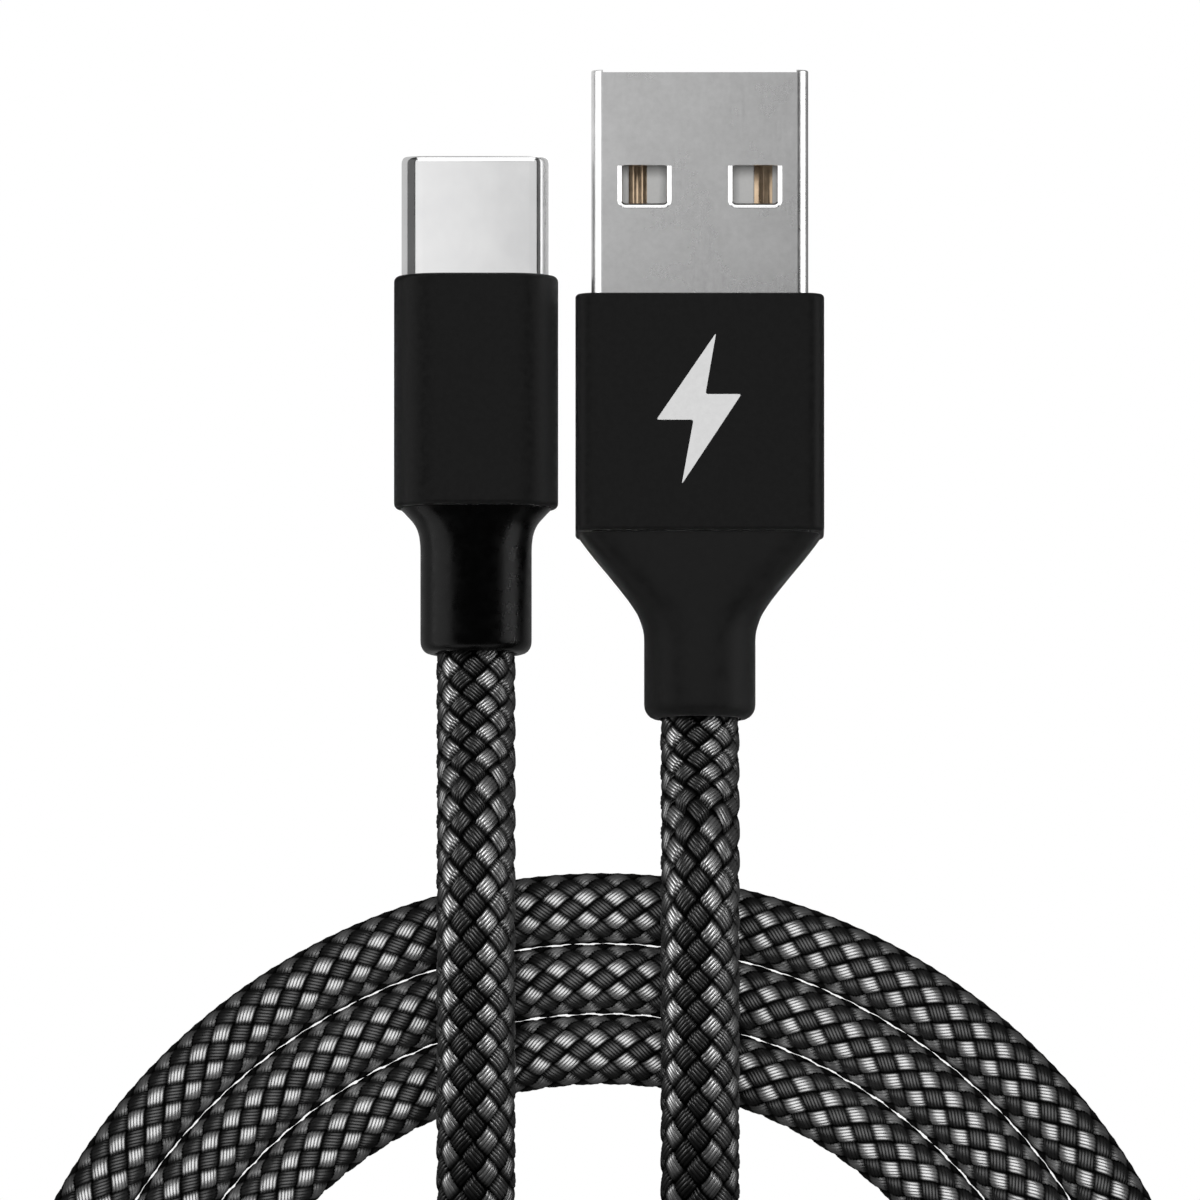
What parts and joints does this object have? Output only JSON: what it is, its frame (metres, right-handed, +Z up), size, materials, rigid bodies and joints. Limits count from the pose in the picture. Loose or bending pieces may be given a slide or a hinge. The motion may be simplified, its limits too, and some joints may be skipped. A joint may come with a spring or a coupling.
{
  "type": "charging cable",
  "caption": "Braided charging cable with a wide rectangular plug and a small oval plug, its spare length wound in a strapped flat coil.",
  "frame": {"origin": "bottom centre of the box round the two plugs, on the surface that the cable lies on", "axes": "+Y out of both plugs' mouths, along the plugs; +Z up from the surface; +X from the small oval plug towards the wide plug"},
  "size_m": [0.0716, 0.1141, 0.013],
  "materials": {
    "shell_nickel": "satin nickel plate",
    "shell_polished": "polished nickel plate",
    "spring_steel": "satin",
    "anodised_black": "fine bead-blasted black anodising",
    "boot_elastomer": "satin",
    "contact_gold": "gold plate",
    "tongue_plastic": "satin",
    "insulator_black": "satin",
    "mould_plastic": "satin",
    "board_green": "solder mask",
    "wire_red": "satin",
    "wire_white": "satin",
    "wire_green": "satin",
    "wire_black": "satin",
    "jacket_black": "satin",
    "textile_braid": "braided black and grey yarn with a slight sheen",
    "hook_and_loop": "brushed hook-and-loop tape"
  },
  "bodies": {
    "cable": {"plug_a_shell": "shell_nickel", "plug_a_tongue": "tongue_plastic", "plug_a_contact_power": "contact_gold", "plug_a_contact_data_minus": "contact_gold", "plug_a_contact_data_plus": "contact_gold", "plug_a_contact_ground": "contact_gold", "plug_a_wire_red": "wire_red", "plug_a_wire_white": "wire_white", "plug_a_wire_green": "wire_green", "plug_a_wire_black": "wire_black", "plug_a_cable_end": "jacket_black", "plug_a_cable_clamp": "spring_steel", "plug_a_inner_mold": "mould_plastic", "plug_a_housing": "anodised_black", "plug_a_strain_relief": "boot_elastomer", "plug_c_shell": "shell_polished", "plug_c_insulator": "insulator_black", "plug_c_mid_plate": "spring_steel", "plug_c_ground_spring_upper": "spring_steel", "plug_c_ground_spring_lower": "spring_steel", "plug_c_board": "board_green", "plug_c_resistor": "insulator_black", "plug_c_wire_red": "wire_red", "plug_c_wire_white": "wire_white", "plug_c_wire_green": "wire_green", "plug_c_wire_black": "wire_black", "plug_c_cable_end": "jacket_black", "plug_c_cable_clamp": "spring_steel", "plug_c_inner_mold": "mould_plastic", "plug_c_housing": "anodised_black", "plug_c_strain_relief": "boot_elastomer", "cord_plug_a_run": "textile_braid", "cord_plug_c_run": "textile_braid", "cord_coil": "textile_braid", "coil_strap": "hook_and_loop", "plug_c_contact_a1": "contact_gold", "plug_c_contact_a4": "contact_gold", "plug_c_contact_a5": "contact_gold", "plug_c_contact_a6": "contact_gold", "plug_c_contact_a7": "contact_gold", "plug_c_contact_a9": "contact_gold", "plug_c_contact_a12": "contact_gold", "plug_c_contact_b12": "contact_gold", "plug_c_contact_b9": "contact_gold", "plug_c_contact_b4": "contact_gold", "plug_c_contact_b1": "contact_gold"},
    "latch_left": {"plug_c_latch_left": "spring_steel"},
    "latch_right": {"plug_c_latch_right": "spring_steel"}
  },
  "joints": [
    {"name": "latch_left_flex", "type": "hinge", "parent": "cable", "child": "latch_left", "pos_m": [-0.01045, 0.007, 0.00308], "axis": [0, 0.0872, 0.9962], "range_deg": [0, 2], "stiffness_Nm_per_rad": 0.01},
    {"name": "latch_right_flex", "type": "hinge", "parent": "cable", "child": "latch_right", "pos_m": [-0.00415, 0.007, 0.00308], "axis": [0, -0.0872, -0.9962], "range_deg": [0, 2], "stiffness_Nm_per_rad": 0.01}
  ]
}
